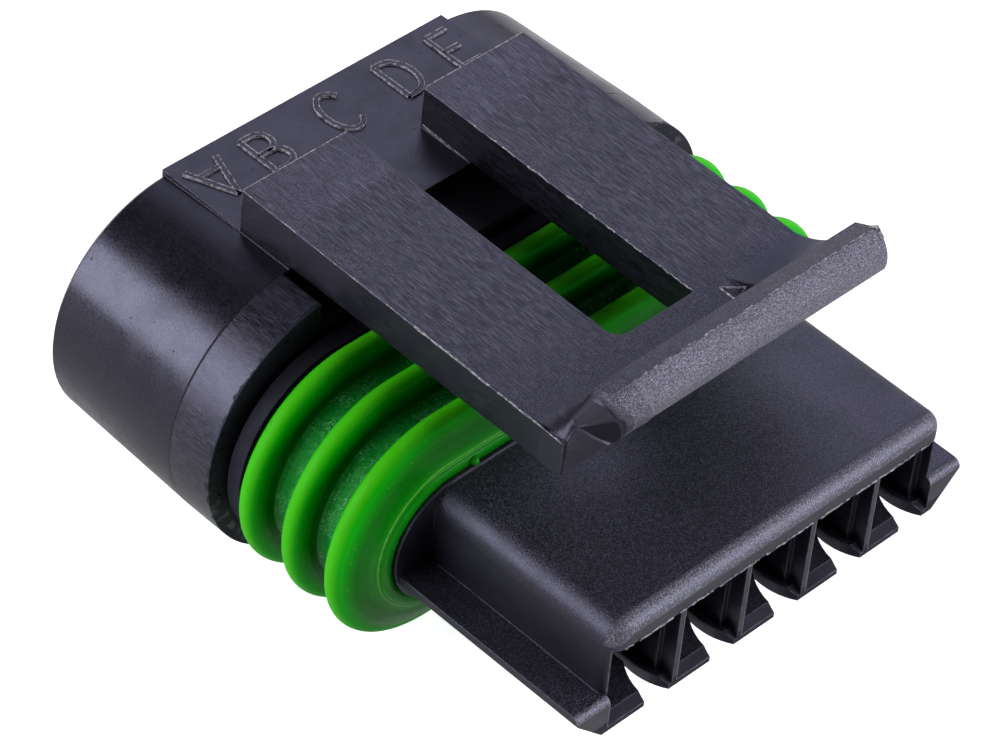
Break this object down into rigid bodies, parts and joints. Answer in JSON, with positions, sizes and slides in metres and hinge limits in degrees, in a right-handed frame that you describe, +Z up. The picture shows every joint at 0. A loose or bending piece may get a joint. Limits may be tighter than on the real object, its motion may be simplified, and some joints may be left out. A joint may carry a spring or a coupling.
{
  "type": "sealed automotive connector housing",
  "caption": "Sealed in-line connector: flat nose with a row of open cavities, ribbed green ring seal, oval rear shroud and a windowed latch with a raised finger bar.",
  "frame": {"origin": "middle of the row of cavities, at the mating face, level with the nose's underside", "axes": "+X along the row from cavity A to cavity E, +Y from the mating face towards the wires, +Z up towards the latch"},
  "size_m": [0.03, 0.0304, 0.0191],
  "materials": {
    "nylon_black": "satin moulded glass-filled nylon",
    "silicone_green": "soft satin silicone",
    "silicone_green_rear": "soft satin silicone",
    "tin_brass": "tin-plated stamped strip"
  },
  "bodies": {
    "root": {"housing": "nylon_black", "ring_seal": "silicone_green", "wire_seal": "silicone_green_rear", "terminal_a": "tin_brass", "terminal_b": "tin_brass", "terminal_c": "tin_brass", "terminal_d": "tin_brass", "terminal_e": "tin_brass"}
  },
  "joints": []
}
